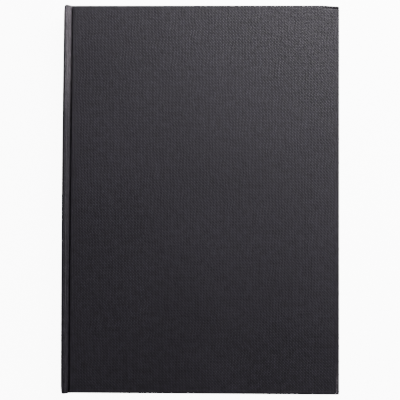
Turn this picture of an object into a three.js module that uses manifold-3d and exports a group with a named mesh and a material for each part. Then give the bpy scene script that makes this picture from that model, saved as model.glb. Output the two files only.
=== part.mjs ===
// A case-bound notebook, closed and lying on its back cover.
// Its leaves are single sheets held by glue along the spine, lined with gauze and kraft paper.
// The case is two greyboards and a spine board in one covering cloth, joined to the block by endpapers.
// Millimetres. +X runs from the spine to the fore edge, +Y to the head, +Z through the front cover.
// The origin is under the middle of the notebook, on the surface that it lies on.

import * as THREE from "three";
import { mergeVertices } from "three/addons/utils/BufferGeometryUtils.js";
import Module from "manifold-3d";

// Leaves: A4 paper, counted and turned in packets
const leafWidth = 210;
const leafHeight = 297;
const leafThickness = 0.1;
const leavesPerPacket = 6;
const packetsPerHalf = 8;
const packetGap = 0.06;

// Endpapers: one folded sheet at each side of the block, half of it pasted to the board
const endpaperThickness = 0.15;
const endpaperAir = 0.06;

// Case
const boardThickness = 2;
const boardEdgeRound = 0.65;
const boardCornerRound = 0.9;
const foreEdgeSquare = 3;
const headSquare = 3;
const clothThickness = 0.3;
const turnInWidth = 15;
const mitreSlot = 0.25;
const mitreMargin = 1.6;

// Spine of the case
const spineBoardThickness = 1.5;
const spineBoardRound = 0.7;
const spineHeadRound = 1.1;
const spineOverhang = 0.55;
const jointOverhang = 0.25;
const spineDrop = 0.15;

// Joint between the spine and a cover
const shoulderWidth = 4.3;
const grooveFlat = 0.7;

// Lining and glue on the back of the block
const glueThickness = 0.36;
const sideGlueThickness = 0.08;
const gauzeThickness = 0.2;
const gauzeReach = 25;
const gauzeClear = 2; // from the gauze to the turn-ins at head and tail
const linerThickness = 0.15;
const linerMargin = 2;
const glueMargin = 0.5;

// Clearances
const film = 0.03; // paste between two sheets
const hollowGap = 0.04; // free space behind the spine board, so that it can arch away
const turnGap = 0.3; // between the fixed gutter and what turns
const hingeSetback = 0.47; // from the turning axis to the covered edge of the board

// Depths below the outer face of a cover
const boardOuter = clothThickness + film;
const boardInner = boardOuter + boardThickness;
const turnInOuter = boardInner + film;
const turnInInner = turnInOuter + clothThickness;
const pastedownInner = turnInInner + film + endpaperThickness;
const flyleafOuter = pastedownInner + endpaperAir;
const flyleafInner = flyleafOuter + endpaperThickness;
const blockDepth = flyleafInner + endpaperAir;

// Thicknesses measured through the closed notebook
const packetThickness = leavesPerPacket * leafThickness;
const packetPitch = packetThickness + packetGap;
const halfBlock = packetsPerHalf * packetPitch - packetGap / 2;
const halfThickness = halfBlock + blockDepth;

// Places across the notebook, from the outer face of the spine
const spineBoardLeft = clothThickness + film;
const spineBoardRight = spineBoardLeft + spineBoardThickness;
const spineTurnInRight = spineBoardRight + film + clothThickness;
const linerLeft = spineTurnInRight + hollowGap;
const gauzeLeft = linerLeft + linerThickness + film;
const glueLeft = gauzeLeft + gauzeThickness + film;
const leafSpineEdge = glueLeft + glueThickness + film;
const leafForeEdge = leafSpineEdge + leafWidth;
const boardLeft = leafSpineEdge + shoulderWidth;
const coverLeft = boardLeft - film - clothThickness;
const coverRight = leafForeEdge + foreEdgeSquare;
const boardRight = coverRight - clothThickness - film;
const turnLine = coverLeft - hingeSetback;
const gutterRight = turnLine - turnGap / 2;
const turningLeft = turnLine + turnGap / 2;

// Half lengths along the spine
const halfLeaf = leafHeight / 2;
const halfCover = halfLeaf + headSquare;
const halfBoard = halfCover - clothThickness - film;
const halfSpineBoard = halfCover + spineOverhang - clothThickness - film;
const halfSpineBoardHeight = halfThickness - spineDrop - clothThickness - film;
const halfJoint = halfCover + jointOverhang;
const halfGauze = halfCover - turnInWidth - gauzeClear;

// Heights over the middle of the block, in the fixed gutter
const sideGlueTop = halfBlock + film + sideGlueThickness;
const foldBottom = sideGlueTop + film;
const foldTop = foldBottom + 2 * endpaperThickness + film;
const gauzeTop = foldTop + film + gauzeThickness;
const doubledCloth = 2 * clothThickness + film;
const grooveTop = gauzeTop + film + doubledCloth;

// Facets of round edges and of the joint's curve
const cornerSteps = 2;
const edgeSteps = 3;
const jointSteps = 12;

const clothBlack = new THREE.MeshStandardMaterial({ color: 0x2d2c30, roughness: 0.62, metalness: 0 });
const greyboard = new THREE.MeshStandardMaterial({ color: 0x9b968c, roughness: 0.92, metalness: 0 });
const leafPaper = new THREE.MeshStandardMaterial({ color: 0xf3f0e6, roughness: 0.88, metalness: 0 });
const endPaper = new THREE.MeshStandardMaterial({ color: 0xf4f3ef, roughness: 0.85, metalness: 0 });
const gauzeCotton = new THREE.MeshStandardMaterial({ color: 0xe6e2d6, roughness: 0.95, metalness: 0 });
const kraftPaper = new THREE.MeshStandardMaterial({ color: 0xb08a5c, roughness: 0.9, metalness: 0 });
const bindingGlue = new THREE.MeshStandardMaterial({ color: 0xe9e3cf, roughness: 0.45, metalness: 0 });

const wasm = await Module();
wasm.setup();

// Closed geometry as a solid that can be cut and joined
function solidOf(geometry) {
  const loose = geometry.index ? geometry.toNonIndexed() : geometry;
  const bare = new THREE.BufferGeometry();
  bare.setAttribute("position", loose.getAttribute("position"));
  const merged = mergeVertices(bare, 1e-4);
  const vertProperties = merged.getAttribute("position").array;
  const triVerts = new Uint32Array(merged.index.array);
  return new wasm.Manifold(new wasm.Mesh({ numProp: 3, vertProperties, triVerts }));
}

// Geometry of a solid after its cuts, with flat facets
function geometryOf(solid) {
  const cut = solid.getMesh();
  const geometry = new THREE.BufferGeometry();
  geometry.setAttribute("position", new THREE.BufferAttribute(new Float32Array(cut.vertProperties), 3));
  geometry.setIndex(new THREE.BufferAttribute(new Uint32Array(cut.triVerts), 1));
  const flat = geometry.toNonIndexed();
  flat.computeVertexNormals();
  return flat;
}

// One solid with others taken away from it, in order
function cutAway(geometry, cutters) {
  const result = cutters.reduce((rest, cutter) => rest.subtract(solidOf(cutter)), solidOf(geometry));
  return geometryOf(result);
}

// Box between two places on each axis
function box(x0, x1, y0, y1, z0, z1) {
  const geometry = new THREE.BoxGeometry(x1 - x0, y1 - y0, z1 - z0);
  geometry.translate((x0 + x1) / 2, (y0 + y1) / 2, (z0 + z1) / 2);
  return geometry;
}

// Rectangle whose left corners, and right ones if asked, are round
function roundedOutline(x0, x1, y0, y1, leftRound, rightRound) {
  const outline = new THREE.Shape();
  const quarter = Math.PI / 2;
  outline.moveTo(x0 + leftRound, y0);
  outline.lineTo(x1 - rightRound, y0);
  if (rightRound > 0) outline.absarc(x1 - rightRound, y0 + rightRound, rightRound, -quarter, 0, false);
  outline.lineTo(x1, y1 - rightRound);
  if (rightRound > 0) outline.absarc(x1 - rightRound, y1 - rightRound, rightRound, 0, quarter, false);
  outline.lineTo(x0 + leftRound, y1);
  outline.absarc(x0 + leftRound, y1 - leftRound, leftRound, quarter, 2 * quarter, false);
  outline.lineTo(x0, y0 + leftRound);
  outline.absarc(x0 + leftRound, y0 + leftRound, leftRound, 2 * quarter, 3 * quarter, false);
  return outline;
}

// Plate with round corners in plan and round edges on both faces
function softPlate(x0, x1, halfY, z0, z1, edge, corner) {
  const plate = new THREE.ExtrudeGeometry(roundedOutline(x0, x1, -halfY, halfY, corner, corner), {
    depth: z1 - z0 - 2 * edge,
    bevelThickness: edge,
    bevelSize: edge,
    bevelOffset: -edge,
    bevelSegments: edgeSteps,
    curveSegments: cornerSteps,
  });
  plate.translate(0, 0, z0 + edge);
  return plate;
}

// Outline in the plane across the spine, carried along the spine
function alongSpine(outline, y0, y1) {
  const run = new THREE.ExtrudeGeometry(outline, {
    depth: y1 - y0,
    bevelEnabled: false,
    curveSegments: edgeSteps,
  });
  run.rotateX(Math.PI / 2);
  run.translate(0, y1, 0);
  return run;
}

// Outline from a list of corners
function polygon(corners) {
  return new THREE.Shape(corners.map(([x, z]) => new THREE.Vector2(x, z)));
}

// Section of a strip folded round a back edge, open towards the fore edge
function foldedSection(x0, x1, z0, z1, backWall, sideWall) {
  return polygon([
    [x1, z1],
    [x0, z1],
    [x0, z0],
    [x1, z0],
    [x1, z0 + sideWall],
    [x0 + backWall, z0 + sideWall],
    [x0 + backWall, z1 - sideWall],
    [x1, z1 - sideWall],
  ]);
}

function piece(name, geometry, material) {
  const mesh = new THREE.Mesh(geometry, material);
  mesh.name = name;
  return mesh;
}

// Spine board, grown on every side by the same amount: its outer edges and its ends are softened
function spineBlank(grow) {
  const left = spineBoardLeft - grow;
  const right = spineBoardRight + grow;
  const halfHeight = halfSpineBoardHeight + grow;
  const halfLength = halfSpineBoard + grow;
  const section = roundedOutline(left, right, -halfHeight, halfHeight, spineBoardRound + grow, 0);
  const plan = roundedOutline(left, right, -halfLength, halfLength, spineHeadRound + grow, 0);
  const stood = new THREE.ExtrudeGeometry(plan, {
    depth: 2 * halfHeight,
    bevelEnabled: false,
    curveSegments: edgeSteps,
  });
  stood.translate(0, 0, -halfHeight);
  return solidOf(alongSpine(section, -halfLength, halfLength)).intersect(solidOf(stood));
}

function spineBoard() {
  return piece("spine_board", geometryOf(spineBlank(0)), greyboard);
}

// Covering over the spine board, turned in over its head and tail
function spineCloth() {
  const wrapped = spineBlank(film + clothThickness).subtract(spineBlank(film));
  const halfLength = halfCover + spineOverhang;
  const innerFace = spineBoardRight + film;
  const past = spineTurnInRight + clothThickness;
  const openBack = box(
    innerFace,
    past,
    turnInWidth - halfLength,
    halfLength - turnInWidth,
    -halfThickness,
    halfThickness,
  );
  const overHead = box(
    innerFace,
    past,
    -halfLength - film,
    halfLength + film,
    halfSpineBoardHeight - film,
    halfThickness,
  );
  const underTail = overHead.clone().translate(0, 0, film - halfSpineBoardHeight - halfThickness);
  return piece("spine_cloth", cutAway(geometryOf(wrapped), [openBack, overHead, underTail]), clothBlack);
}

// Kraft paper that stiffens the back of the lined block
function spineLiner() {
  const half = halfLeaf - linerMargin;
  const liner = box(linerLeft, linerLeft + linerThickness, -half, half, -halfBlock, halfBlock);
  return piece("spine_liner", liner, kraftPaper);
}

// Gauze over the back of the block and its two shoulders
function spineGauze() {
  const section = foldedSection(
    gauzeLeft,
    gutterRight,
    -gauzeTop,
    gauzeTop,
    gauzeThickness,
    gauzeThickness,
  );
  return piece("spine_gauze", alongSpine(section, -halfGauze, halfGauze), gauzeCotton);
}

// Glue on the milled back of the block, drawn round onto its first and last leaf
function spineGlue() {
  const half = halfLeaf - glueMargin;
  const section = foldedSection(
    glueLeft,
    gutterRight,
    -sideGlueTop,
    sideGlueTop,
    glueThickness,
    sideGlueThickness,
  );
  return piece("spine_glue", alongSpine(section, -half, half), bindingGlue);
}

// Inner margins of all the leaves, which the glue holds together
function boundLeafEdges() {
  const edges = box(leafSpineEdge, gutterRight, -halfLeaf, halfLeaf, -halfBlock, halfBlock);
  return piece("bound_leaf_edges", edges, leafPaper);
}

// Covering across the joint: an S curve from the top of the spine down to the groove
function jointOuter(share) {
  const start = new THREE.Vector2(spineBoardRight + 2 * film, halfThickness - spineDrop);
  const end = new THREE.Vector2(gutterRight - grooveFlat, grooveTop);
  const eased = share * share * (3 - 2 * share);
  return new THREE.Vector2(
    THREE.MathUtils.lerp(start.x, end.x, share),
    THREE.MathUtils.lerp(start.y, end.y, eased),
  );
}

// The covering's section there, as thick as asked, from one share of the curve to the groove's edge
function jointSection(thickness, firstStep) {
  const outer = [];
  for (let step = firstStep; step <= jointSteps; step++) outer.push(jointOuter(step / jointSteps));
  outer.push(new THREE.Vector2(coverLeft - turnGap, grooveTop));
  const inner = outer.map((point, index) => {
    const before = outer[Math.max(index - 1, 0)];
    const after = outer[Math.min(index + 1, outer.length - 1)];
    const along = after.clone().sub(before).normalize();
    return new THREE.Vector2(point.x + along.y * thickness, point.y - along.x * thickness);
  });
  inner[0].x = Math.max(inner[0].x, outer[0].x);
  inner[inner.length - 1].x = outer[outer.length - 1].x;
  return new THREE.Shape([...outer, ...inner.reverse()]);
}

// The joint's covering, doubled at head and tail where it is turned in
function jointCloth(side) {
  const single = solidOf(alongSpine(jointSection(clothThickness, 0), -halfJoint, halfJoint));
  const doubled = jointSection(doubledCloth, 2);
  const atHead = solidOf(alongSpine(doubled, halfJoint - turnInWidth, halfJoint));
  const atTail = solidOf(alongSpine(doubled, -halfJoint, turnInWidth - halfJoint));
  return piece(side + "_joint_cloth", geometryOf(single.add(atHead).add(atTail)), clothBlack);
}

// Fold of the endpaper, glued down on the block's shoulder
function endpaperFold(side) {
  const section = foldedSection(
    leafSpineEdge,
    gutterRight,
    foldBottom,
    foldTop,
    endpaperThickness,
    endpaperThickness,
  );
  return piece(side + "_endpaper_fold", alongSpine(section, -halfLeaf, halfLeaf), endPaper);
}

// Space of a cover's board, grown on every side by the same amount
function boardBlank(grow) {
  return softPlate(
    boardLeft - grow,
    boardRight + grow,
    halfBoard + grow,
    halfThickness - boardInner - grow,
    halfThickness - boardOuter + grow,
    boardEdgeRound + grow,
    boardCornerRound + grow,
  );
}

function coverBoard(side) {
  return piece(side + "_board", boardBlank(0), greyboard);
}

// Slot between two turn-ins that meet at a corner of the board
function mitre(sign) {
  const innerCorner = new THREE.Vector2(coverRight - turnInWidth, halfCover - turnInWidth);
  const reach = (turnInWidth - mitreMargin) * Math.SQRT2;
  const slot = box(0, reach, -mitreSlot / 2, mitreSlot / 2, 0, clothThickness + 2 * film);
  slot.translate(-mitreSlot, 0, 0);
  slot.rotateZ((sign * Math.PI) / 4);
  slot.translate(innerCorner.x, sign * innerCorner.y, halfThickness - turnInInner - film);
  return slot;
}

// Covering of a cover: over the face, round the edges, and turned in with mitred corners
function coverCloth(side) {
  const opening = box(
    boardLeft - film,
    coverRight - turnInWidth,
    turnInWidth - halfCover,
    halfCover - turnInWidth,
    halfThickness - turnInInner - film,
    halfThickness - boardInner,
  );
  const cuts = [boardBlank(film), opening, mitre(1), mitre(-1)];
  return piece(side + "_cover_cloth", cutAway(boardBlank(film + clothThickness), cuts), clothBlack);
}

// Wing of the gauze, pasted to the board's inner face
function gauzeWing(side) {
  const top = halfThickness - boardInner - film;
  const right = boardLeft + gauzeReach;
  const wing = box(boardLeft, right, -halfGauze, halfGauze, top - gauzeThickness, top);
  return piece(side + "_gauze_wing", wing, gauzeCotton);
}

// Pasted half of an endpaper, drawn down between the turn-ins and over the gauze wing
function pastedown(side) {
  const top = halfThickness - boardInner - film;
  const overTurnIns = halfThickness - turnInInner - film;
  const overGauze = top - gauzeThickness - film;
  const bottom = overTurnIns - endpaperThickness;
  const sheet = box(boardLeft, leafForeEdge, -halfLeaf, halfLeaf, bottom, top);
  const innerX = coverRight - turnInWidth - film;
  const innerY = halfCover - turnInWidth - film;
  const wingX = boardLeft + gauzeReach + film;
  const wingY = halfGauze + film;
  const past = foreEdgeSquare;
  const cuts = [
    box(innerX, leafForeEdge + past, -halfCover, halfCover, overTurnIns, top + past),
    box(boardLeft - past, leafForeEdge + past, innerY, halfCover, overTurnIns, top + past),
    box(boardLeft - past, leafForeEdge + past, -halfCover, -innerY, overTurnIns, top + past),
    box(boardLeft - past, wingX, -wingY, wingY, overGauze, top + past),
    box(
      wingX + endpaperThickness,
      innerX - endpaperThickness,
      endpaperThickness - innerY,
      innerY - endpaperThickness,
      bottom - past,
      top - endpaperThickness,
    ),
  ];
  return piece(side + "_pastedown", cutAway(sheet, cuts), endPaper);
}

// Free half of an endpaper
function flyleaf(side) {
  const bottom = halfThickness - flyleafInner;
  const sheet = box(turningLeft, leafForeEdge, -halfLeaf, halfLeaf, bottom, bottom + endpaperThickness);
  return piece(side + "_flyleaf", sheet, endPaper);
}

// Packet of leaves, counted outwards from the middle of the block
function leafPacket(number, place) {
  const bottom = packetGap / 2 + place * packetPitch;
  const sheets = box(turningLeft, leafForeEdge, -halfLeaf, halfLeaf, bottom, bottom + packetThickness);
  return piece("leaf_packet_" + String(number).padStart(2, "0"), sheets, leafPaper);
}

// What the front and the back of the notebook have alike, built over the middle of the block
function halfNotebook(side, packetNumber) {
  const half = new THREE.Group();
  half.add(coverBoard(side), coverCloth(side), gauzeWing(side), pastedown(side));
  half.add(jointCloth(side), endpaperFold(side), flyleaf(side));
  for (let place = 0; place < packetsPerHalf; place++) half.add(leafPacket(packetNumber(place), place));
  return half;
}

const front = halfNotebook("front", (place) => packetsPerHalf - place);
const back = halfNotebook("back", (place) => packetsPerHalf + 1 + place);
back.rotation.x = Math.PI;

const notebook = new THREE.Group();
notebook.add(spineBoard(), spineCloth(), spineLiner(), spineGauze(), spineGlue(), boundLeafEdges());
notebook.add(front, back);
notebook.position.set(-coverRight / 2, 0, halfThickness);

export default notebook;
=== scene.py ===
"""Case-bound notebook in black linen cloth, closed on a pale floor.

The hard forms come from the CAD frame. The covering, the joints, the leaves and the endpapers are
surfaces worked out here, in the same place and at the same size.
"""

import math

import bmesh
import bpy
import numpy as np
from bpy.props import FloatProperty, FloatVectorProperty, IntProperty, PointerProperty
from bpy.types import Operator, Panel, PropertyGroup
from mathutils import Matrix, Vector


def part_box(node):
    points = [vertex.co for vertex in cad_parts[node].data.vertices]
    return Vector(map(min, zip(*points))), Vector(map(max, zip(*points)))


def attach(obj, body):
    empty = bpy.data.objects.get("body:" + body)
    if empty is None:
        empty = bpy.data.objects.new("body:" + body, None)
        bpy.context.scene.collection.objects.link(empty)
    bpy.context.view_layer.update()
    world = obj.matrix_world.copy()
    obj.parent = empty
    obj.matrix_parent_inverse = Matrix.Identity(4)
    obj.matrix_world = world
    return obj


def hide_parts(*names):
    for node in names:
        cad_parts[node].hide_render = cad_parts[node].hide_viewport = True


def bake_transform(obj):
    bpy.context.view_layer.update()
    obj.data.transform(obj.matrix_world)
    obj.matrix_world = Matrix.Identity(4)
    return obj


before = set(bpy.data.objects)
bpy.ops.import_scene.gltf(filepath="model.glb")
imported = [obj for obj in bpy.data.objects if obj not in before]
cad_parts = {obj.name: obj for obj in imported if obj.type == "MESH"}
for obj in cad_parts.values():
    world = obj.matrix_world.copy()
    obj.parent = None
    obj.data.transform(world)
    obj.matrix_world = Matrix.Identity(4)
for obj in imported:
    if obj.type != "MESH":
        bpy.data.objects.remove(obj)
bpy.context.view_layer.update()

bl_info = {
    "name": "Case-bound notebook",
    "version": (1, 0, 0),
    "blender": (4, 5, 0),
    "location": "View3D > Sidebar > Notebook",
    "description": "Builds a cloth-covered notebook, its leaves, its materials and its studio",
    "category": "Object",
}

MM = 0.001

# Places that the frame gives, in metres
COVER_LOW, COVER_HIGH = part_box("front_cover_cloth")
SPINE_LOW, SPINE_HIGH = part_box("spine_cloth")
JOINT_LOW, JOINT_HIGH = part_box("front_joint_cloth")
GUTTER_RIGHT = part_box("bound_leaf_edges")[1].x
FOLD_LOW, FOLD_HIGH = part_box("front_endpaper_fold")
PASTE_LOW, PASTE_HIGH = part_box("front_pastedown")
BOARD_LOW, BOARD_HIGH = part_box("front_board")
SPINE_BOARD_LOW, SPINE_BOARD_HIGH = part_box("spine_board")
THICKNESS = COVER_HIGH.z

SIDES = ("front", "back")
PACKETS = 16
LEAVES_PER_PACKET = 6
PACKET_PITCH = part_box("leaf_packet_01")[0].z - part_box("leaf_packet_02")[0].z

# Sheets and the film between two of them
FILM = 0.03 * MM
GAUZE_THICK = 0.2 * MM
ENDPAPER_THICK = 0.15 * MM
ENDPAPER_STEP = 0.05 * MM
LEAF_EDGE_PITCH = 0.1 * MM
GAUZE_PITCH = 1.2 * MM
TRIM_LOOSE = 0.12 * MM
SLIDE_LOOSE = 0.08 * MM

# The spine: it bows out at mid height, leans out towards the tail and stands past the covers at its ends
SPINE_BOW = 0.45 * MM
SPINE_LEAN = 0.3 * MM
LEAN_SHARE = 0.8
SPINE_PROUD = 0.5 * MM
PROUD_LONG = 12 * MM
CAP_TUCK = 0.55 * MM
CAP_LONG = 3.5 * MM

# The joint, from the spine's edge to the cover; places are counted from the spine's face
LAP_RISE = 0.02 * MM
LAP_SHORT = 0.04 * MM
RIDGE_AT = 2.9 * MM
RIDGE_WIDE = 0.7 * MM
CREASE_AT = 3.9 * MM
CREASE_WIDE = 0.35 * MM
BAND_DROP = 0.95 * MM
BAND_CURVE = 1.3
DIP_WIDE = 1.0 * MM
DIP_BEFORE_GUTTER = 0.7 * MM
ROLL_LONG = 0.3 * MM
STEP_LONG = 0.2 * MM

# The covers: their hinge edges bow and run out towards the tail, and one corner is knocked in
SPLAY = 0.5 * MM
HINGE_BOW = 0.4 * MM
SPLAY_LONG = 12 * MM
DENT_LONG = 15 * MM
DENT_DEEP = 5 * MM
DENT_AT = 2.35 * MM
DENT_WIDE = 0.55 * MM
DENT_SLIDE = 0.75 * MM
DENT_DROP = 1.0 * MM

# Painted highlights on the cloth: on the spine and joints towards the head, and in a line along the fore edge
# by the tail
HEAD_HIGHLIGHT = 0.9
HIGHLIGHT_FROM = 60 * MM
HIGHLIGHT_TO = 105 * MM
HIGHLIGHT_IN = 1.0 * MM
HIGHLIGHT_FADE = 0.5 * MM
# Painted highlight in a narrow line along the fore edge's rounding, by the tail
FORE_EDGE_HIGHLIGHT = 1.0
FORE_HIGHLIGHT_AT = 1.9 * MM
FORE_HIGHLIGHT_WIDE = 0.8 * MM
FORE_HIGHLIGHT_LONG = 24 * MM

# Steps of the grids
EDGE_STEP = 0.5 * MM
EDGE_REACH = 5 * MM
WRAP_STEPS = 5
BOARD_EDGE_STEPS = 3
BOARD_STEPS = 20
SPINE_STEPS = 9
SPINE_BOARD_STEPS = (5, 40)
JOINT_STEPS = 40
GUTTER_STEPS = 9
ROLL_STEPS = 6
BEND_STEPS = 25
LEAF_STEPS = 7
LEAF_ROWS = 9
HINGE_STEPS = (15, 25)
MERGE = 0.0002 * MM
SLIVER = 0.00001 * MM

# Noise scales, in turns a metre
THREAD_DRIFT = 70.0
THREAD_SLUB = 420.0
CLOTH_CLOUD = 250.0
WIDE_WEAR = 14.0
FINE_WEAR = 900.0
FIBRE_CLOUD = 60.0
PAPER_FELT = 2200.0
GLUE_FLOW = 350.0

# The photo's camera: it stands almost straight over the cover, a little towards the tail
CAMERA_DISTANCE = 0.9
CAMERA_AIM = (-0.32 * MM, -1.10 * MM, THICKNESS)
CAMERA_PITCH = math.radians(1.87)
CAMERA_YAW = math.radians(1.34)
CAMERA_ROLL = math.radians(0.18)
CAMERA_LENS = 103.98
SENSOR = 36

# The studio
FLOOR_REACH = 3.0
KEY_SIZE = 0.35
KEY_PLACE = (0.2, 0.6, 0.37)
KEY_TINT = (1, 0.965, 0.98)
SIDE_SIZE = 0.4
SIDE_PLACE = (0.62, 0.3, 0.42)
WHITE = (1, 1, 1)


class NotebookShapes(PropertyGroup):
    cloth: FloatProperty(
        name="Cloth thickness", description="Thickness of the covering", default=0.3 * MM, unit="LENGTH"
    )
    edge_round: FloatProperty(
        name="Edge rounding", description="Radius of the covered edges", default=1.0 * MM, unit="LENGTH"
    )
    corner_round: FloatProperty(
        name="Corner rounding", description="Radius of the covered corners", default=1.2 * MM, unit="LENGTH"
    )
    spine_round: FloatProperty(
        name="Spine rounding", description="Radius of the spine's long edges", default=1.5 * MM, unit="LENGTH"
    )
    head_round: FloatProperty(
        name="Cap rounding",
        description="Radius of the spine's head and tail",
        default=1.55 * MM,
        unit="LENGTH",
    )
    turn_in: FloatProperty(
        name="Turn-in", description="Width of the cloth turned in", default=15 * MM, unit="LENGTH"
    )
    relief: FloatProperty(
        name="Joint relief",
        description="Height of the ridge beside the groove",
        default=0.1 * MM,
        unit="LENGTH",
    )
    leaf: FloatProperty(
        name="Leaf thickness", description="Thickness of one leaf", default=0.092 * MM, unit="LENGTH"
    )
    leaf_bend: FloatProperty(
        name="Leaf bend", description="Width over which an opened leaf bends", default=20 * MM, unit="LENGTH"
    )
    columns: IntProperty(name="Columns", description="Faces across a cover", default=54, min=8, max=120)
    rows: IntProperty(name="Rows", description="Faces along a cover", default=76, min=8, max=160)


class NotebookFinish(PropertyGroup):
    cloth: FloatVectorProperty(
        name="Cloth", description="Colour of the covering", default=(0.022, 0.0187, 0.0275), subtype="COLOR"
    )
    # The painted highlight's colour: on the spine and joints towards the head, and along the fore edge by the
    # tail.
    painted_highlight: FloatVectorProperty(
        name="Painted highlight",
        description="Colour of the painted highlight on the cloth",
        default=(0.1, 0.088, 0.104),
        subtype="COLOR",
    )
    leaf: FloatVectorProperty(
        name="Leaf paper", description="Colour of the leaves", default=(0.86, 0.83, 0.74), subtype="COLOR"
    )
    endpaper: FloatVectorProperty(
        name="Endpaper", description="Colour of the endpapers", default=(0.86, 0.85, 0.81), subtype="COLOR"
    )
    board: FloatVectorProperty(
        name="Greyboard", description="Colour of the boards", default=(0.33, 0.31, 0.27), subtype="COLOR"
    )
    kraft: FloatVectorProperty(
        name="Kraft paper", description="Colour of the liner", default=(0.43, 0.25, 0.11), subtype="COLOR"
    )
    gauze: FloatVectorProperty(
        name="Gauze", description="Colour of the gauze", default=(0.78, 0.75, 0.67), subtype="COLOR"
    )
    glue: FloatVectorProperty(
        name="Glue", description="Colour of the glue", default=(0.80, 0.76, 0.63), subtype="COLOR"
    )
    thread: FloatProperty(
        name="Thread pitch", description="Spacing of the cloth's threads", default=1.12 * MM, unit="LENGTH"
    )


class NotebookStudio(PropertyGroup):
    floor: FloatVectorProperty(
        name="Floor", description="Colour of the floor", default=(0.93, 0.93, 0.93), subtype="COLOR"
    )
    glow: FloatProperty(name="Floor glow", description="Brightness of the floor in the picture", default=10.0)
    bounce: FloatProperty(name="Floor bounce", description="Light that the floor sends up", default=0.3)
    key: FloatProperty(
        name="Key light", description="Power of the light at the head", default=7.9, unit="POWER"
    )
    side: FloatProperty(
        name="Side light", description="Power of the low light at the right", default=5.3, unit="POWER"
    )
    ambient: FloatProperty(name="Ambient", description="Strength of the surroundings", default=0.14)


# Meshes


def grid_faces(rows, columns, first=0, wrap=False):
    """Quads of a grid whose points are numbered along its rows; wrapped, each row is a closed ring."""
    last = columns if wrap else columns - 1
    row, column = np.meshgrid(np.arange(rows - 1), np.arange(last), indexing="ij")
    after = (column + 1) % columns
    corners = (
        row * columns + column,
        row * columns + after,
        (row + 1) * columns + after,
        (row + 1) * columns + column,
    )
    return np.stack([c.ravel() for c in corners], axis=1) + first


def finish_piece(name, points, faces, uv, material, smooth=True):
    """A mesh object at the origin: equal points merged, faces outwards, one flat pattern map in metres."""
    mesh = bpy.data.meshes.new(name)
    mesh.from_pydata(points.tolist(), [], faces.tolist())
    order = np.empty(len(mesh.loops), dtype=np.int32)
    mesh.loops.foreach_get("vertex_index", order)
    layer = mesh.uv_layers.new(name="flat")
    layer.data.foreach_set("uv", uv[order].astype(np.float32).ravel())
    work = bmesh.new()
    work.from_mesh(mesh)
    bmesh.ops.remove_doubles(work, verts=work.verts, dist=MERGE)
    bmesh.ops.dissolve_degenerate(work, dist=SLIVER, edges=work.edges)
    bmesh.ops.recalc_face_normals(work, faces=work.faces)
    work.to_mesh(mesh)
    work.free()
    if smooth:
        mesh.shade_smooth()
    mesh.materials.append(material)
    piece = bpy.data.objects.new(name, mesh)
    bpy.context.scene.collection.objects.link(piece)
    return piece


def shell_faces(rows, columns, first=0):
    """Quads of a closed sheet: an outer grid, an inner grid after it, and the rim between them."""
    count = rows * columns
    outer = grid_faces(rows, columns, first)
    inner = grid_faces(rows, columns, first + count)[:, ::-1]
    index = np.arange(count).reshape(rows, columns)
    rim = np.concatenate([index[0, :-1], index[:-1, -1], index[-1, :0:-1], index[:0:-1, 0]]) + first
    after = np.roll(rim, -1)
    wall = np.stack([rim, rim + count, after + count, after], axis=1)
    return np.concatenate([outer, inner, wall])


def ease(share):
    """Smooth step: three times the square less twice the cube."""
    return share * share * (3 - 2 * share)


# The covering over a board


def ring_points(low, high, inset, radius, places, arc):
    """Rings round a rectangle: its sides moved in by their insets, its corners drawn as quarter circles.

    inset is one row for each ring, in the order left, right, bottom, top.
    """
    left, right = low[0] + inset[:, 0], high[0] - inset[:, 1]
    bottom, top = low[1] + inset[:, 2], high[1] - inset[:, 3]
    x0, x1, y0, y1 = (v[:, None] for v in (left + radius, right - radius, bottom + radius, top - radius))
    across, along = ((c[None, :] - c[0]) / (c[-1] - c[0]) for c in places)
    turn = np.linspace(0, math.pi / 2, arc + 1)[None, 1:-1]
    r = radius[:, None]

    def corner(cx, cy, start):
        return cx + r * np.cos(turn + start), cy + r * np.sin(turn + start)

    parts = [
        (x0 + (x1 - x0) * across, y0 - r + 0 * across),
        corner(x1, y0, -math.pi / 2),
        (x1 + r + 0 * along, y0 + (y1 - y0) * along),
        corner(x1, y1, 0),
        (x1 + (x0 - x1) * across, y1 + r + 0 * across),
        corner(x0, y1, math.pi / 2),
        (x0 - r + 0 * along, y1 + (y0 - y1) * along),
        corner(x0, y0, math.pi),
    ]
    return np.stack([np.concatenate([p[k] for p in parts], axis=1) for k in (0, 1)], axis=2)


def edge_path(depth, edge, steps):
    """Inset and depth over an edge: a quarter circle, the wall and a quarter circle, smaller if need be."""
    turn = np.linspace(0, math.pi / 2, steps + 1)
    rear = min(edge, depth - edge)
    front = [(edge - edge * math.sin(a), edge - edge * math.cos(a)) for a in turn]
    return front + [(rear - rear * math.cos(a), depth - rear + rear * math.sin(a)) for a in turn]


def wrap_profile(depth, cloth, edge, start, turn_in):
    """Path of the covering over an edge and back inside it, as inset, depth and length along the outside.

    Flat, the edge, the turn-in; then the same path one cloth further in.
    """
    outer = [(start, 0.0), *edge_path(depth, edge, WRAP_STEPS), (turn_in, depth)]
    fine = max(edge - cloth, cloth / 10)
    within = edge_path(depth - 2 * cloth, fine, WRAP_STEPS)[::-1]
    inner = [(turn_in, depth - cloth), *((cloth + x, cloth + z) for x, z in within), (start, cloth)]
    path = np.array(outer + inner)
    length = np.concatenate([[0], np.cumsum(np.linalg.norm(np.diff(np.array(outer), axis=0), axis=1))])
    return path, np.concatenate([length, length[::-1]])


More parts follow.
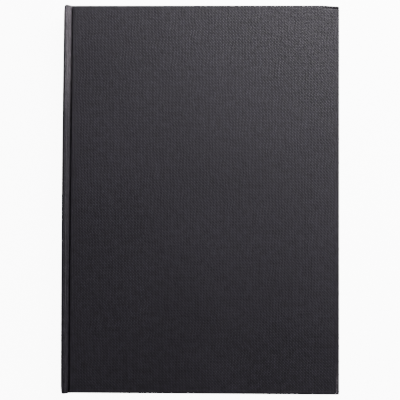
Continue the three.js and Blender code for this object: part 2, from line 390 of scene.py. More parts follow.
def faced_rings(rings, depths, places, gap):
    """A closed mesh: rings of points at their depths, and two grids that close the first and the last ring,
    one in the plane and one a gap behind it."""
    around = rings.shape[1]
    depth_of_ring = np.repeat(depths[:, None, None], around, axis=1)
    ring = np.concatenate([rings, depth_of_ring], axis=2).reshape(-1, 3)
    columns, rows = (len(c) for c in places)
    across, along = np.meshgrid(*places)
    outer = np.stack([across, along, 0 * across], axis=2).reshape(-1, 3)
    faces = [
        grid_faces(len(rings), around, 0, wrap=True),
        grid_faces(rows, columns, len(ring)),
        grid_faces(rows, columns, len(ring) + len(outer)),
    ]
    return np.concatenate([ring, outer, outer + np.array([0, 0, gap])]), np.concatenate(faces)


def wrapped_covering(low, high, depth, cloth, edge, corner, turn_in, open_sides, places, arc=4):
    """Covering of a board in its own plane: points (across, along, depth) and the same points laid flat.

    A grid fills the middle of the face, and rings carry the wrap profile round it. On a side that is
    open, the cloth isn't turned in: the rings stop at its own thickness.
    """
    path, length = wrap_profile(depth, cloth, edge, corner, turn_in)
    inset = np.repeat(path[:, :1], 4, axis=1)
    inner = path[:, 1] > depth / 2
    for side in open_sides:
        inset[inner, side] = np.minimum(inset[inner, side], cloth)
    radius = np.maximum(corner - path[:, 0], 0)
    rings = ring_points(low, high, inset, radius, places, arc)
    laid = ring_points(low, high, np.repeat(corner - length[:, None], 4, axis=1), length, places, arc)
    points, faces = faced_rings(rings, path[:, 1], places, cloth)
    laid = laid.reshape(-1, 2)
    return points, np.concatenate([laid, points[len(laid) :, :2]]), faces


def solid_plate(low, high, depth, edge, corner, places, arc=4):
    """A board in its own plane: two faces, and rings over its edge."""
    path = np.array([(corner, 0.0), *edge_path(depth, edge, BOARD_EDGE_STEPS), (corner, depth)])
    inset = np.repeat(path[:, :1], 4, axis=1)
    rings = ring_points(low, high, inset, corner - path[:, 0], places, arc)
    points, faces = faced_rings(rings, path[:, 1], places, depth)
    return points, points[:, :2], faces


def flip_to_back(points):
    """The back half of the notebook is the front one turned over about its middle height."""
    return points * np.array([1, 1, -1]) + np.array([0, 0, THICKNESS])


def bowed(points):
    """The spine bows out at mid height, by a parabola along it, and leans out towards the tail, by an eased
    step. Its ends stand out a little and are tucked in at the cap. All of it fades out at the groove."""
    fade = np.clip((JOINT_HIGH.x - points[:, 0]) / (JOINT_HIGH.x - JOINT_LOW.x), 0, 1)
    along = points[:, 1] / SPINE_HIGH.y
    lean = ease(np.clip((1 - along) / LEAN_SHARE, 0, 1))
    points[:, 0] -= (SPINE_LEAN * lean + SPINE_BOW * (1 - along**2)) * fade
    past_middle = np.abs(points[:, 1]) - SPINE_HIGH.y
    cap = ease(np.clip((past_middle + CAP_LONG) / CAP_LONG, 0, 1))
    points[:, 0] += CAP_TUCK * cap * ease(fade)
    near = ease(np.clip((past_middle + PROUD_LONG) / PROUD_LONG, 0, 1))
    points[:, 1] += SPINE_PROUD * near * np.sign(points[:, 1]) * ease(fade)
    return points


def close_at_ends(low, high, count):
    """Places from low to high: evenly spread, and one short step apart over the last few millimetres."""
    near = EDGE_STEP * np.arange(round(EDGE_REACH / EDGE_STEP))
    middle = np.linspace(low + near[-1], high - near[-1], count)
    return np.concatenate([low + near[:-1], middle, high - near[-2::-1]])


def dented(points):
    """The corner at head and fore edge is knocked in: its head edge gives way towards the corner, with a
    narrow dent just inside it."""
    ramp = ease(np.clip((points[:, 0] - COVER_HIGH.x + DENT_LONG) / DENT_LONG, 0, 1))
    edge = ease(np.clip((points[:, 1] - COVER_HIGH.y + DENT_DEEP) / DENT_DEEP, 0, 1))
    groove = np.exp(-(((points[:, 1] - COVER_HIGH.y + DENT_AT) / DENT_WIDE) ** 2))
    upper = ease(np.clip((points[:, 2] - COVER_LOW.z) / (COVER_HIGH.z - COVER_LOW.z), 0, 1))
    points[:, 1] -= DENT_SLIDE * ramp * edge
    points[:, 2] -= DENT_DROP * ramp * groove * upper
    return points


def cover_surface(shapes):
    """Covering of the front cover: the wrap profile, its hinge edge bowed out by a parabola and running out
    in a straight line towards the tail."""
    low = (COVER_LOW.x, COVER_LOW.y)
    high = (COVER_HIGH.x, COVER_HIGH.y)
    depth = COVER_HIGH.z - COVER_LOW.z
    corner = shapes.corner_round
    counts = (shapes.columns, shapes.rows)
    places = [close_at_ends(a + corner, b - corner, count) for a, b, count in zip(low, high, counts)]
    points, flat, faces = wrapped_covering(
        low,
        high,
        depth,
        shapes.cloth,
        shapes.edge_round,
        corner,
        shapes.turn_in,
        (0,),
        places,
    )
    points[:, 2] = COVER_HIGH.z - points[:, 2]
    tailward = np.clip((COVER_HIGH.y - points[:, 1]) / (COVER_HIGH.y - COVER_LOW.y), 0, 1)
    hingeward = np.clip((COVER_LOW.x + SPLAY_LONG - points[:, 0]) / SPLAY_LONG, 0, 1)
    middle = 1 - (points[:, 1] / COVER_HIGH.y) ** 2
    points[:, 0] -= (SPLAY * tailward + HINGE_BOW * middle) * hingeward
    return points, flat, faces


def board_surface(shapes):
    """Greyboard of the front cover, with the same soft edges as the cloth over it."""
    low, high = (BOARD_LOW.x, BOARD_LOW.y), (BOARD_HIGH.x, BOARD_HIGH.y)
    corner = shapes.corner_round - shapes.cloth
    places = [close_at_ends(a + corner, b - corner, BOARD_STEPS) for a, b in zip(low, high)]
    edge = shapes.edge_round - shapes.cloth
    points, flat, faces = solid_plate(low, high, BOARD_HIGH.z - BOARD_LOW.z, edge, corner, places)
    points[:, 2] = BOARD_HIGH.z - points[:, 2]
    return points, flat, faces


def spine_board_surface(shapes):
    """Greyboard of the spine, standing on its long edge behind the spine cloth, with softened corners."""
    low, high = (SPINE_BOARD_LOW.z, SPINE_BOARD_LOW.y), (SPINE_BOARD_HIGH.z, SPINE_BOARD_HIGH.y)
    corner = shapes.head_round - shapes.cloth
    places = [np.linspace(a + corner, b - corner, count) for a, b, count in zip(low, high, SPINE_BOARD_STEPS)]
    edge = shapes.spine_round - shapes.cloth
    points, flat, faces = solid_plate(low, high, SPINE_BOARD_HIGH.x - SPINE_BOARD_LOW.x, edge, corner, places)
    placed = np.stack([SPINE_BOARD_LOW.x + points[:, 2], points[:, 1], points[:, 0]], axis=1)
    return bowed(placed), flat, faces


def spine_surface(shapes):
    """Covering of the spine: the wrap profile with the spine's outer face as its plane."""
    low = (SPINE_LOW.z, SPINE_LOW.y)
    high = (SPINE_HIGH.z, SPINE_HIGH.y)
    depth = SPINE_HIGH.x - SPINE_LOW.x
    corner = shapes.head_round
    counts = (SPINE_STEPS, shapes.rows)
    places = [np.linspace(a + corner, b - corner, count) for a, b, count in zip(low, high, counts)]
    points, flat, faces = wrapped_covering(
        low,
        high,
        depth,
        shapes.cloth,
        shapes.spine_round,
        corner,
        shapes.turn_in,
        (0, 1),
        places,
        arc=6,
    )
    placed = np.stack([SPINE_LOW.x + points[:, 2], points[:, 1], points[:, 0]], axis=1)
    return bowed(placed), flat, faces


def joint_surface(shapes):
    """Covering across the joint: an eased S from the spine's top down to the groove, with a low ridge and
    a crease where the cloth was pressed in, its inner face one or, where it is turned in, two cloths below.
    """
    start_x, start_z = SPINE_LOW.x + shapes.spine_round, JOINT_HIGH.z + LAP_RISE
    flat_from = GUTTER_RIGHT - DIP_BEFORE_GUTTER
    groove_z = FOLD_HIGH.z + 3 * FILM + GAUZE_THICK + 2 * shapes.cloth
    end_x = COVER_LOW.x + shapes.cloth - LAP_SHORT
    band_x = np.linspace(start_x, GUTTER_RIGHT, JOINT_STEPS)
    x = np.concatenate([band_x, np.linspace(GUTTER_RIGHT, end_x, GUTTER_STEPS)[1:]])
    band = np.clip((x - start_x) / (flat_from - start_x), 0, 1)
    dip = ease(np.clip((x - flat_from + DIP_WIDE / 2) / DIP_WIDE, 0, 1))
    z = start_z - BAND_DROP * band**BAND_CURVE
    z = z + (groove_z - start_z + BAND_DROP) * dip
    u = x - SPINE_LOW.x
    z = z + shapes.relief * np.exp(-(((u - RIDGE_AT) / RIDGE_WIDE) ** 2))
    z = z - shapes.relief * np.exp(-(((u - CREASE_AT) / CREASE_WIDE) ** 2))
    slope = np.gradient(z, x)
    normal = np.stack([-slope, np.ones_like(slope)], axis=1)
    normal /= np.linalg.norm(normal, axis=1)[:, None]
    half = JOINT_HIGH.y
    lip = half - shapes.turn_in
    rolled = half - ROLL_LONG * (1 - np.sin(np.linspace(0, math.pi / 2, ROLL_STEPS)))
    tail = np.concatenate([[lip, lip + STEP_LONG], rolled])
    y = np.concatenate([-tail[::-1], np.linspace(-lip, lip, JOINT_STEPS)[1:-1], tail])
    double = (np.abs(y) > lip + STEP_LONG / 2).astype(float)
    past = np.clip((np.abs(y) - rolled[0]) / ROLL_LONG, 0, 1)
    roll = ROLL_LONG * (1 - np.sqrt(1 - past**2))
    depth = shapes.cloth * (1 + double) + FILM * double
    grid_x = np.repeat(x[None, :], len(y), axis=0)
    grid_y = np.repeat(y[:, None], len(x), axis=1)
    grid_z = z[None, :] - 0 * grid_x
    outer = np.stack([grid_x, grid_y, grid_z - roll[:, None]], axis=2)
    drop = depth[:, None, None] * np.stack([normal[:, 0], 0 * x, normal[:, 1]], axis=1)[None, :, :]
    inner = np.stack([grid_x, grid_y, grid_z + roll[:, None] / 2], axis=2) - drop
    inner[:, :, 0] = np.clip(inner[:, :, 0], start_x, end_x)
    along = np.concatenate([[0], np.cumsum(np.hypot(np.diff(x), np.diff(z)))])
    flat = np.stack([np.repeat(along[None, :], len(y), axis=0) + start_x, grid_y], axis=2).reshape(-1, 2)
    points = np.concatenate([outer.reshape(-1, 3), inner.reshape(-1, 3)])
    return bowed(points), np.concatenate([flat, flat]), shell_faces(len(y), len(x))


# Leaves


def leaf_columns(start, end, bend):
    """Places across a leaf: close together where it bends, far apart over its flat part."""
    near = start + bend * np.linspace(0, 1, BEND_STEPS)
    return np.concatenate([near, np.linspace(start + bend, end, LEAF_STEPS)[1:]])


def leaf_stack(start, low, high, thickness, count, bend, seed):
    """Closed flat sheets, evenly stacked between low and high, each cut a hair shorter than the box."""
    noise = np.random.default_rng(seed)
    columns = leaf_columns(0.0, 1.0, bend / (high.x - start))
    y = np.linspace(low.y, high.y, LEAF_ROWS)
    pitch = (high.z - low.z) / count
    points, flat, faces = [], [], []
    for leaf in range(count):
        reach = high.x - start - noise.uniform(0, TRIM_LOOSE)
        slide = noise.uniform(0, SLIDE_LOOSE)
        x = start + reach * columns
        across, along = np.meshgrid(x, y * (1 - slide / high.y))
        middle = low.z + (leaf + 0.5) * pitch
        top = np.stack([across, along, np.full_like(across, middle + thickness / 2)], axis=2).reshape(-1, 3)
        faces.append(shell_faces(len(y), len(x), sum(len(p) for p in points)))
        points.append(top)
        points.append(top - np.array([0, 0, thickness]))
        flat += [top[:, :2], top[:, :2]]
    return np.concatenate(points), np.concatenate(flat), np.concatenate(faces)


# Shared shader groups


class Sockets:
    """Short way to add nodes to one tree and join them."""

    def __init__(self, tree):
        self.tree = tree

    def add(self, kind, values=None, **settings):
        node = self.tree.nodes.new(kind)
        for key, value in settings.items():
            setattr(node, key, value)
        for key, value in (values or {}).items():
            if hasattr(value, "is_output"):
                self.tree.links.new(value, node.inputs[key])
            else:
                node.inputs[key].default_value = value
        return node

    def math(self, operation, a, b=0.0):
        return self.add("ShaderNodeMath", {0: a, 1: b}, operation=operation).outputs[0]

    def noise(self, vector, scale, detail=3.0):
        values = {"Vector": vector, "Scale": scale, "Detail": detail}
        return self.add("ShaderNodeTexNoise", values).outputs["Fac"]

    def span(self, value, low, high, to_low, to_high):
        values = {"Value": value, "From Min": low, "From Max": high, "To Min": to_low, "To Max": to_high}
        return self.add("ShaderNodeMapRange", values).outputs["Result"]


def new_group(name, inputs, outputs):
    """A node group with its sockets: the tree, a short way to add nodes to it, its inputs and its outputs."""
    tree = bpy.data.node_groups.new(name, "ShaderNodeTree")
    for label, kind, default in inputs:
        socket = tree.interface.new_socket(label, in_out="INPUT", socket_type=kind)
        if default is not None:
            socket.default_value = default
    for label, kind in outputs:
        tree.interface.new_socket(label, in_out="OUTPUT", socket_type=kind)
    source = tree.nodes.new("NodeGroupInput")
    target = tree.nodes.new("NodeGroupOutput")
    return tree, Sockets(tree), source.outputs, target.inputs


def linen_group():
    """Plain weave: warp and weft ribs that pass over and under each other, wandering and of uneven height."""
    tree, add, given, out = new_group(
        "plain_weave",
        [
            ("Vector", "NodeSocketVector", None),
            ("Pitch", "NodeSocketFloat", 0.0007),
            ("Unevenness", "NodeSocketFloat", 0.6),
            ("Wander", "NodeSocketFloat", 2.0),
        ],
        [("Height", "NodeSocketFloat"), ("Mask", "NodeSocketFloat")],
    )
    drift_values = {"Vector": given["Vector"], "Scale": THREAD_DRIFT, "Detail": 3.0}
    drift = add.add("ShaderNodeTexNoise", drift_values).outputs["Color"]
    reach = add.math("MULTIPLY", given["Pitch"], given["Wander"])
    sway = add.add("ShaderNodeCombineXYZ", {0: reach, 1: reach}).outputs[0]
    moved = add.add("ShaderNodeVectorMath", {0: drift, 1: sway, 2: given["Vector"]}, operation="MULTIPLY_ADD")
    parts = add.add("ShaderNodeSeparateXYZ", {0: moved.outputs[0]})
    x = add.math("DIVIDE", parts.outputs[0], given["Pitch"])
    y = add.math("DIVIDE", parts.outputs[1], given["Pitch"])
    across = add.math("SINE", add.math("MULTIPLY", x, math.pi))
    along = add.math("SINE", add.math("MULTIPLY", y, math.pi))
    crossing = add.math("MULTIPLY", across, along)
    warp = add.math("MULTIPLY", add.math("ABSOLUTE", across), add.span(crossing, -0.5, 0.5, 0.25, 1.0))
    weft = add.math("MULTIPLY", add.math("ABSOLUTE", along), add.span(crossing, -0.5, 0.5, 0.6, 0.1))
    weave = add.math("MAXIMUM", warp, weft)
    slub = add.noise(given["Vector"], THREAD_SLUB, 2.0)
    amount = add.math("MULTIPLY", add.math("SUBTRACT", slub, 0.5), given["Unevenness"])
    tree.links.new(add.math("ADD", weave, amount), out["Height"])
    tree.links.new(weave, out["Mask"])
    return tree


def wear_group():
    """Soft dust and worn places: wide patches of a slow noise, broken up by a fast one."""
    tree, add, given, out = new_group(
        "soft_wear",
        [("Vector", "NodeSocketVector", None), ("Amount", "NodeSocketFloat", 0.5)],
        [("Mask", "NodeSocketFloat")],
    )
    wide = add.span(add.noise(given["Vector"], WIDE_WEAR), 0.4, 0.75, 0.0, 1.0)
    fine = add.span(add.noise(given["Vector"], FINE_WEAR, 4.0), 0.45, 0.8, 0.3, 1.0)
    mask = add.math("MULTIPLY", add.math("MULTIPLY", wide, fine), given["Amount"])
    tree.links.new(mask, out["Mask"])
    return tree


def paper_group():
    """Paper: a fibre cloud for tone, and a fine felt height."""
    tree, add, given, out = new_group(
        "paper_fibre",
        [("Vector", "NodeSocketVector", None)],
        [("Tone", "NodeSocketFloat"), ("Height", "NodeSocketFloat")],
    )
    cloud = add.noise(given["Vector"], FIBRE_CLOUD, 4.0)
    felt = add.noise(given["Vector"], PAPER_FELT, 3.0)
    tree.links.new(add.span(cloud, 0.3, 0.7, 0.97, 1.03), out["Tone"])
    tree.links.new(felt, out["Height"])
    return tree


def group(name, maker):
    """The node group of this name, made when it is first asked for."""
    return bpy.data.node_groups.get(name) or maker()


def new_material(name, roughness):
    """A material, a short way to add nodes to it, and its shader."""
    material = bpy.data.materials.new(name)
    material.use_nodes = True
    tree = material.node_tree
    shader = tree.nodes["Principled BSDF"]
    shader.inputs["Roughness"].default_value = roughness
    return material, Sockets(tree), shader


def place_group(add, tree, values):
    """A node group placed in a material with its inputs set: its outputs."""
    node = add.add("ShaderNodeGroup", node_tree=tree)
    for key, value in values.items():
        if hasattr(value, "is_output"):
            add.tree.links.new(value, node.inputs[key])
        else:
            node.inputs[key].default_value = value
    return node.outputs


def tinted(add, colour, factor):
    """A colour times a changing factor."""
    node = add.add("ShaderNodeVectorMath", {0: tuple(colour), 1: factor}, operation="MULTIPLY")
    return node.outputs[0]


def cloth_material(finish, painted_highlight=0.0):
    """Black linen cloth. On top of the spine and across the joints it has a painted highlight, lighter
    towards the head; on the covers a painted highlight runs in a line along the fore edge by the tail."""
    name = "rubbed_linen_cloth" if painted_highlight else "black_linen_cloth"
    if name in bpy.data.materials:
        return bpy.data.materials[name]
    material, add, shader = new_material(name, 0.45)
    flat = add.add("ShaderNodeUVMap", uv_map="flat").outputs["UV"]
    weave = place_group(add, group("plain_weave", linen_group), {"Vector": flat, "Pitch": finish.thread})
    wear = place_group(add, group("soft_wear", wear_group), {"Vector": flat, "Amount": 0.35})
    # Painted shade and sheen of the weave: the hollows between threads are darkened and the threads that pass
    # over are lightened. The wear added to it is dust.
    weave_shade_and_sheen = add.span(weave["Mask"], 0.2, 1.0, 0.05, 1.7)
    slub = add.span(add.noise(flat, CLOTH_CLOUD, 3.0), 0.34, 0.66, 0.68, 1.34)
    tone = add.math("MULTIPLY", add.math("ADD", weave_shade_and_sheen, wear["Mask"]), slub)
    shader.inputs["Specular IOR Level"].default_value = 0.42
    colour = tinted(add, finish.cloth, tone)
    across, along = add.add("ShaderNodeSeparateXYZ", {0: flat}).outputs[:2]
    # Painted highlight on the spine and joints: it fades in towards the head and starts a little in from the
    # spine's outer edge.
    if painted_highlight:
        where = add.add("ShaderNodeTexCoord").outputs["Object"]
        inward = add.add("ShaderNodeSeparateXYZ", {0: where}).outputs[0]
        rim = SPINE_LOW.x + HIGHLIGHT_IN
        top = add.span(inward, rim, rim + HIGHLIGHT_FADE, 0.0, painted_highlight)
        share = add.math("MULTIPLY", add.span(along, HIGHLIGHT_FROM, HIGHLIGHT_TO, 0.0, 1.0), top)
    else:
        # Painted highlight in a narrow line along the fore edge, full at the tail and fading out towards the
        # head.
        off = add.math("ABSOLUTE", add.math("SUBTRACT", across, COVER_HIGH.x - FORE_HIGHLIGHT_AT))
        line = add.span(off, FORE_HIGHLIGHT_WIDE / 2, FORE_HIGHLIGHT_WIDE, 1.0, 0.0)
        reach = add.span(along, COVER_LOW.y + FORE_HIGHLIGHT_LONG, COVER_LOW.y + FORE_HIGHLIGHT_LONG / 3, 0.0, FORE_EDGE_HIGHLIGHT)
        share = add.math("MULTIPLY", line, reach)
    # The painted highlight's colour, with the same weave and random tone as the cloth.
    grey = tinted(add, finish.painted_highlight, tone)
    mix = add.add("ShaderNodeMix", {"Factor": share, "A": colour, "B": grey}, data_type="VECTOR")
    add.tree.links.new(mix.outputs[1], shader.inputs["Base Color"])
    add.tree.links.new(add.span(wear["Mask"], 0.0, 0.4, 0.45, 0.56), shader.inputs["Roughness"])
    bump = add.add("ShaderNodeBump", {"Height": weave["Height"], "Strength": 0.9, "Distance": 0.22 * MM})
    add.tree.links.new(bump.outputs[0], shader.inputs["Normal"])
    return material


def paper_material(name, colour, roughness, depth):
    """Paper or board: an even colour with a fibre cloud and a felt surface."""
    if name in bpy.data.materials:
        return bpy.data.materials[name]
    material, add, shader = new_material(name, roughness)
    where = add.add("ShaderNodeTexCoord").outputs["Object"]
    paper = place_group(add, group("paper_fibre", paper_group), {"Vector": where})
    add.tree.links.new(tinted(add, colour, paper["Tone"]), shader.inputs["Base Color"])
    bump = add.add("ShaderNodeBump", {"Height": paper["Height"], "Strength": 0.3, "Distance": depth})
    add.tree.links.new(bump.outputs[0], shader.inputs["Normal"])
    return material


def woven_material(name, colour, pitch):
    """Open cotton weave."""
    if name in bpy.data.materials:
        return bpy.data.materials[name]
    material, add, shader = new_material(name, 0.95)
    where = add.add("ShaderNodeTexCoord").outputs["Object"]
    weave = place_group(add, group("plain_weave", linen_group), {"Vector": where, "Pitch": pitch})
    # Painted shade between the threads: the weave's low places are darkened.
    tone = add.span(weave["Mask"], 0.3, 1.0, 0.7, 1.05)
    add.tree.links.new(tinted(add, colour, tone), shader.inputs["Base Color"])
    bump = add.add("ShaderNodeBump", {"Height": weave["Height"], "Strength": 0.6, "Distance": 0.1 * MM})
    add.tree.links.new(bump.outputs[0], shader.inputs["Normal"])
    return material


def cut_edge_material(name, colour, pitch):
    """Cut edges of many leaves: a painted shade line in the gap at each leaf, its darkness uneven along it,
    and deeper painted shade between packets.
    """
    if name in bpy.data.materials:
        return bpy.data.materials[name]
    material, add, shader = new_material(name, 0.9)
    where = add.add("ShaderNodeTexCoord").outputs["Object"]
    height = add.add("ShaderNodeSeparateXYZ", {0: where}).outputs[2]
    middle = add.math("SUBTRACT", height, THICKNESS / 2)
    # Painted shade in the gap between each two leaves; the same line also raises the bump.
    line = add.math("ABSOLUTE", add.math("SINE", add.math("MULTIPLY", middle, math.pi / pitch)))
    packet = add.math("ABSOLUTE", add.math("SINE", add.math("MULTIPLY", middle, math.pi / PACKET_PITCH)))
    paper = place_group(add, group("paper_fibre", paper_group), {"Vector": where})
    tone = add.math("MULTIPLY", add.span(line, 0.0, 0.5, 0.7, 1.0), paper["Tone"])
    # Deeper painted shade in the gaps between packets.
    tone = add.math("MULTIPLY", tone, add.span(packet, 0.0, 0.25, 0.4, 1.0))
    add.tree.links.new(tinted(add, colour, tone), shader.inputs["Base Color"])
    bump = add.add("ShaderNodeBump", {"Height": line, "Strength": 0.4, "Distance": 0.03 * MM})
    add.tree.links.new(bump.outputs[0], shader.inputs["Normal"])
    return material


def glue_material(colour):
    """Dried glue, smooth and rough by turns."""
    name = "binding_glue"
    if name in bpy.data.materials:
        return bpy.data.materials[name]
    material, add, shader = new_material(name, 0.4)
    where = add.add("ShaderNodeTexCoord").outputs["Object"]
    flow = add.noise(where, GLUE_FLOW, 2.0)
    add.tree.links.new(tinted(add, colour, add.span(flow, 0.3, 0.7, 0.92, 1.05)), shader.inputs["Base Color"])
    add.tree.links.new(add.span(flow, 0.3, 0.7, 0.32, 0.5), shader.inputs["Roughness"])
    bump = add.add("ShaderNodeBump", {"Height": flow, "Strength": 0.5, "Distance": 0.1 * MM})
    add.tree.links.new(bump.outputs[0], shader.inputs["Normal"])
    return material


def dress(node, material):
    """Gives a CAD node's object its procedural material."""
    mesh = bpy.data.objects[node].data
    mesh.materials.clear()
    mesh.materials.append(material)


# Operators


class NOTEBOOK_OT_covers(Operator):
    """Covering of the two covers"""

    bl_idname = "notebook.covers"
    bl_label = "Cover cloth"

    def execute(self, context):
        points, flat, faces = cover_surface(context.scene.notebook_shapes)
        cloth = cloth_material(context.scene.notebook_finish)
        for side in SIDES:
            placed = dented(points.copy()) if side == "front" else flip_to_back(points)
            piece = finish_piece(side + "_cover_linen", placed, faces, flat, cloth)
            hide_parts(side + "_cover_cloth")
            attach(piece, side + "_cover")
        return {"FINISHED"}


class NOTEBOOK_OT_boards(Operator):
    """Greyboards of the two covers and of the spine"""

    bl_idname = "notebook.boards"
    bl_label = "Greyboards"

    def execute(self, context):
        points, flat, faces = board_surface(context.scene.notebook_shapes)
        board = paper_material("greyboard", context.scene.notebook_finish.board, 0.92, 0.05 * MM)
        for side in SIDES:
            placed = dented(points.copy()) if side == "front" else flip_to_back(points)
            piece = finish_piece(side + "_greyboard", placed, faces, flat, board)
            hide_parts(side + "_board")
            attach(piece, side + "_cover")
        points, flat, faces = spine_board_surface(context.scene.notebook_shapes)
        piece = finish_piece("spine_greyboard", points, faces, flat, board)
        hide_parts("spine_board")
        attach(piece, "binding")
        return {"FINISHED"}


class NOTEBOOK_OT_spine(Operator):
    """Covering of the spine board"""

    bl_idname = "notebook.spine"
    bl_label = "Spine cloth"

    def execute(self, context):
        points, flat, faces = spine_surface(context.scene.notebook_shapes)
        # The spine's cloth has the painted highlight towards the head.
        cloth = cloth_material(context.scene.notebook_finish, HEAD_HIGHLIGHT)
        piece = finish_piece("spine_linen", points, faces, flat, cloth)
        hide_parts("spine_cloth")
        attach(piece, "binding")
        return {"FINISHED"}


class NOTEBOOK_OT_joints(Operator):
    """Covering across the two joints"""

    bl_idname = "notebook.joints"
    bl_label = "Joint cloth"

    def execute(self, context):
        points, flat, faces = joint_surface(context.scene.notebook_shapes)
        # The joints' cloth has the same painted highlight towards the head.
        cloth = cloth_material(context.scene.notebook_finish, HEAD_HIGHLIGHT)
        for side in SIDES:
            placed = points if side == "front" else flip_to_back(points)
            piece = finish_piece(side + "_joint_linen", placed, faces, flat, cloth)
            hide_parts(side + "_joint_cloth")
            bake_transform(piece)
        return {"FINISHED"}


class NOTEBOOK_OT_leaves(Operator):
    """Ninety-six leaves in sixteen packets, their columns close together by the gutter"""

    bl_idname = "notebook.leaves"
    bl_label = "Leaves"

    def execute(self, context):
        shapes = context.scene.notebook_shapes
        paper = paper_material("leaf_paper", context.scene.notebook_finish.leaf, 0.86, 0.01 * MM)
        start = GUTTER_RIGHT + FILM
        for number in range(1, PACKETS + 1):
            label = f"{number:02d}"
            low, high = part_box("leaf_packet_" + label)
            points, flat, faces = leaf_stack(
                start, low, high, shapes.leaf, LEAVES_PER_PACKET, shapes.leaf_bend, number
            )
            piece = finish_piece("leaves_of_packet_" + label, points, faces, flat, paper, False)
            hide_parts("leaf_packet_" + label)
            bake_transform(piece)
        return {"FINISHED"}


class NOTEBOOK_OT_flyleaves(Operator):
    """Free halves of the two endpapers"""

    bl_idname = "notebook.flyleaves"
    bl_label = "Flyleaves"

    def execute(self, context):
        shapes = context.scene.notebook_shapes
        paper = paper_material("endpaper", context.scene.notebook_finish.endpaper, 0.84, 0.01 * MM)
        start = GUTTER_RIGHT + FILM
        for side in SIDES:
            low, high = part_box(side + "_flyleaf")
            thickness = high.z - low.z
            points, flat, faces = leaf_stack(start, low, high, thickness, 1, shapes.leaf_bend, 40)
            piece = finish_piece(side + "_free_endpaper", points, faces, flat, paper, False)
            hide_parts(side + "_flyleaf")
            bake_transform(piece)
        return {"FINISHED"}


class NOTEBOOK_OT_hinges(Operator):
    """Endpaper across the inside of each joint, from its fold to the pasted half"""

    bl_idname = "notebook.hinges"
    bl_label = "Endpaper hinges"

    def execute(self, context):
        paper = paper_material("endpaper", context.scene.notebook_finish.endpaper, 0.84, 0.01 * MM)
        start, end = FOLD_HIGH.x, PASTE_LOW.x
        share = np.linspace(0, 1, HINGE_STEPS[0])
        across = start + (end - start) * share
        height = FOLD_HIGH.z - ENDPAPER_STEP * ease(share)
        along = np.linspace(FOLD_LOW.y, FOLD_HIGH.y, HINGE_STEPS[1])
        grid_x, grid_y = np.meshgrid(across, along)
        grid_z = height[None, :] + 0 * grid_x
        top = np.stack([grid_x, grid_y, grid_z], axis=2).reshape(-1, 3)
        points = np.concatenate([top, top - np.array([0, 0, ENDPAPER_THICK])])
        faces = shell_faces(len(along), len(across))
        for side in SIDES:
            placed = points if side == "front" else flip_to_back(points)
            piece = finish_piece(side + "_endpaper_hinge", placed, faces, points[:, :2], paper)
            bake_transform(piece)
        return {"FINISHED"}


class NOTEBOOK_OT_lining(Operator):
    """Materials of the pasted endpapers, the gauze, the liner, the glue and the bound leaf edges"""

    bl_idname = "notebook.lining"
    bl_label = "Lining and glue"

    def execute(self, context):
        finish = context.scene.notebook_finish
        endpaper = paper_material("endpaper", finish.endpaper, 0.84, 0.01 * MM)
        gauze = woven_material("cotton_gauze", finish.gauze, GAUZE_PITCH)
        for side in SIDES:
            dress(side + "_pastedown", endpaper)
            dress(side + "_endpaper_fold", endpaper)
            dress(side + "_gauze_wing", gauze)
        dress("spine_gauze", gauze)
        dress("spine_liner", paper_material("kraft_paper", finish.kraft, 0.88, 0.02 * MM))
        dress("spine_glue", glue_material(finish.glue))
        dress("bound_leaf_edges", cut_edge_material("bound_leaf_edges", finish.leaf, LEAF_EDGE_PITCH))
        return {"FINISHED"}


class NOTEBOOK_OT_studio(Operator):
    """Floor, soft lights and camera"""

    bl_idname = "notebook.studio"
    bl_label = "Studio"

    def execute(self, context):
        studio = context.scene.notebook_studio
        make_floor(studio)
        make_world(studio)
        make_light("key", studio.key, KEY_SIZE, KEY_PLACE, KEY_TINT)
        make_light("side", studio.side, SIDE_SIZE, SIDE_PLACE, WHITE)
        make_camera(context.scene)
        return {"FINISHED"}


def make_floor(studio):
    """A square in the plane of the table: bright to the camera, dim to the notebook."""
    mesh = bpy.data.meshes.new("floor")
    signs = ((-1, -1), (1, -1), (1, 1), (-1, 1))
    corners = [(FLOOR_REACH * x, FLOOR_REACH * y, 0) for x, y in signs]
    mesh.from_pydata(corners, [], [(0, 1, 2, 3)])
    material, add, shader = new_material("pale_floor", 0.9)
    seen = add.add("ShaderNodeLightPath").outputs["Is Camera Ray"]
    glow = add.span(seen, 0.0, 1.0, studio.bounce, studio.glow)
    shader.inputs["Base Color"].default_value = (*studio.floor, 1)
    shader.inputs["Specular IOR Level"].default_value = 0.1
    shader.inputs["Emission Color"].default_value = (*WHITE, 1)
    add.tree.links.new(glow, shader.inputs["Emission Strength"])
    mesh.materials.append(material)
    floor = bpy.data.objects.new("floor", mesh)
    bpy.context.scene.collection.objects.link(floor)


def make_world(studio):
    """Even surroundings: bright to the camera, dim to the notebook."""
    world = bpy.data.worlds.new("studio_air")
    world.use_nodes = True
    background = world.node_tree.nodes["Background"]
    add = Sockets(world.node_tree)
    seen = add.add("ShaderNodeLightPath").outputs["Is Camera Ray"]
    background.inputs["Color"].default_value = (*WHITE, 1)
    add.tree.links.new(add.span(seen, 0.0, 1.0, studio.ambient, studio.glow), background.inputs["Strength"])
    bpy.context.scene.world = world


def make_light(name, power, size, place, colour):
    """A square light that faces the middle of the floor."""
    light = bpy.data.lights.new(name, "AREA")
    light.color = colour
    light.energy = power
    light.size = size
    lamp = bpy.data.objects.new(name, light)
    lamp.location = place
    lamp.rotation_euler = (-Vector(place)).to_track_quat("-Z", "Y").to_euler()
    bpy.context.scene.collection.objects.link(lamp)


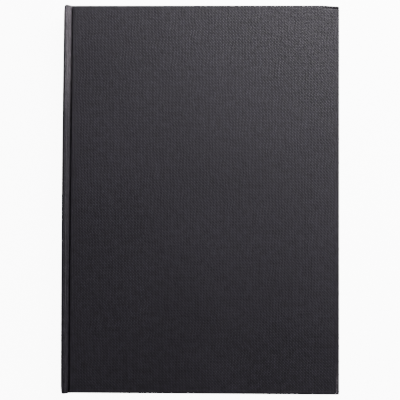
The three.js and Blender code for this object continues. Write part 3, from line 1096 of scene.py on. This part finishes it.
def make_camera(scene):
    """The camera's axes are a pitch, a yaw and a roll from straight down."""
    turn = Matrix.Rotation(CAMERA_PITCH, 3, "X") @ Matrix.Rotation(CAMERA_YAW, 3, "Y")
    turn = turn @ Matrix.Rotation(CAMERA_ROLL, 3, "Z")
    data = bpy.data.cameras.new("camera")
    data.lens = CAMERA_LENS
    data.sensor_width = SENSOR
    camera = bpy.data.objects.new("camera", data)
    place = Vector(CAMERA_AIM) + turn @ Vector((0, 0, CAMERA_DISTANCE))
    camera.matrix_world = Matrix.Translation(place) @ turn.to_4x4()
    scene.collection.objects.link(camera)
    scene.camera = camera


OPERATORS = (
    NOTEBOOK_OT_studio,
    NOTEBOOK_OT_covers,
    NOTEBOOK_OT_boards,
    NOTEBOOK_OT_spine,
    NOTEBOOK_OT_joints,
    NOTEBOOK_OT_flyleaves,
    NOTEBOOK_OT_leaves,
    NOTEBOOK_OT_hinges,
    NOTEBOOK_OT_lining,
)


class NOTEBOOK_PT_panel(Panel):
    bl_idname = "NOTEBOOK_PT_panel"
    bl_label = "Notebook"
    bl_space_type = "VIEW_3D"
    bl_region_type = "UI"
    bl_category = "Notebook"

    def draw(self, context):
        for operator in OPERATORS:
            self.layout.operator(operator.bl_idname)
        for group_name in ("notebook_shapes", "notebook_finish", "notebook_studio"):
            settings = getattr(context.scene, group_name)
            box = self.layout.box()
            for name in settings.bl_rna.properties.keys():
                if name not in ("rna_type", "name"):
                    box.prop(settings, name)


GROUPS = (NotebookShapes, NotebookFinish, NotebookStudio)


def register():
    for kind in GROUPS + OPERATORS + (NOTEBOOK_PT_panel,):
        bpy.utils.register_class(kind)
    bpy.types.Scene.notebook_shapes = PointerProperty(type=NotebookShapes)
    bpy.types.Scene.notebook_finish = PointerProperty(type=NotebookFinish)
    bpy.types.Scene.notebook_studio = PointerProperty(type=NotebookStudio)


def unregister():
    del bpy.types.Scene.notebook_shapes
    del bpy.types.Scene.notebook_finish
    del bpy.types.Scene.notebook_studio
    for kind in reversed(GROUPS + OPERATORS + (NOTEBOOK_PT_panel,)):
        bpy.utils.unregister_class(kind)


def main():
    register()
    for operator in (
        bpy.ops.notebook.studio,
        bpy.ops.notebook.covers,
        bpy.ops.notebook.boards,
        bpy.ops.notebook.spine,
        bpy.ops.notebook.joints,
        bpy.ops.notebook.flyleaves,
        bpy.ops.notebook.leaves,
        bpy.ops.notebook.hinges,
        bpy.ops.notebook.lining,
    ):
        operator()


if __name__ == "__main__":
    main()
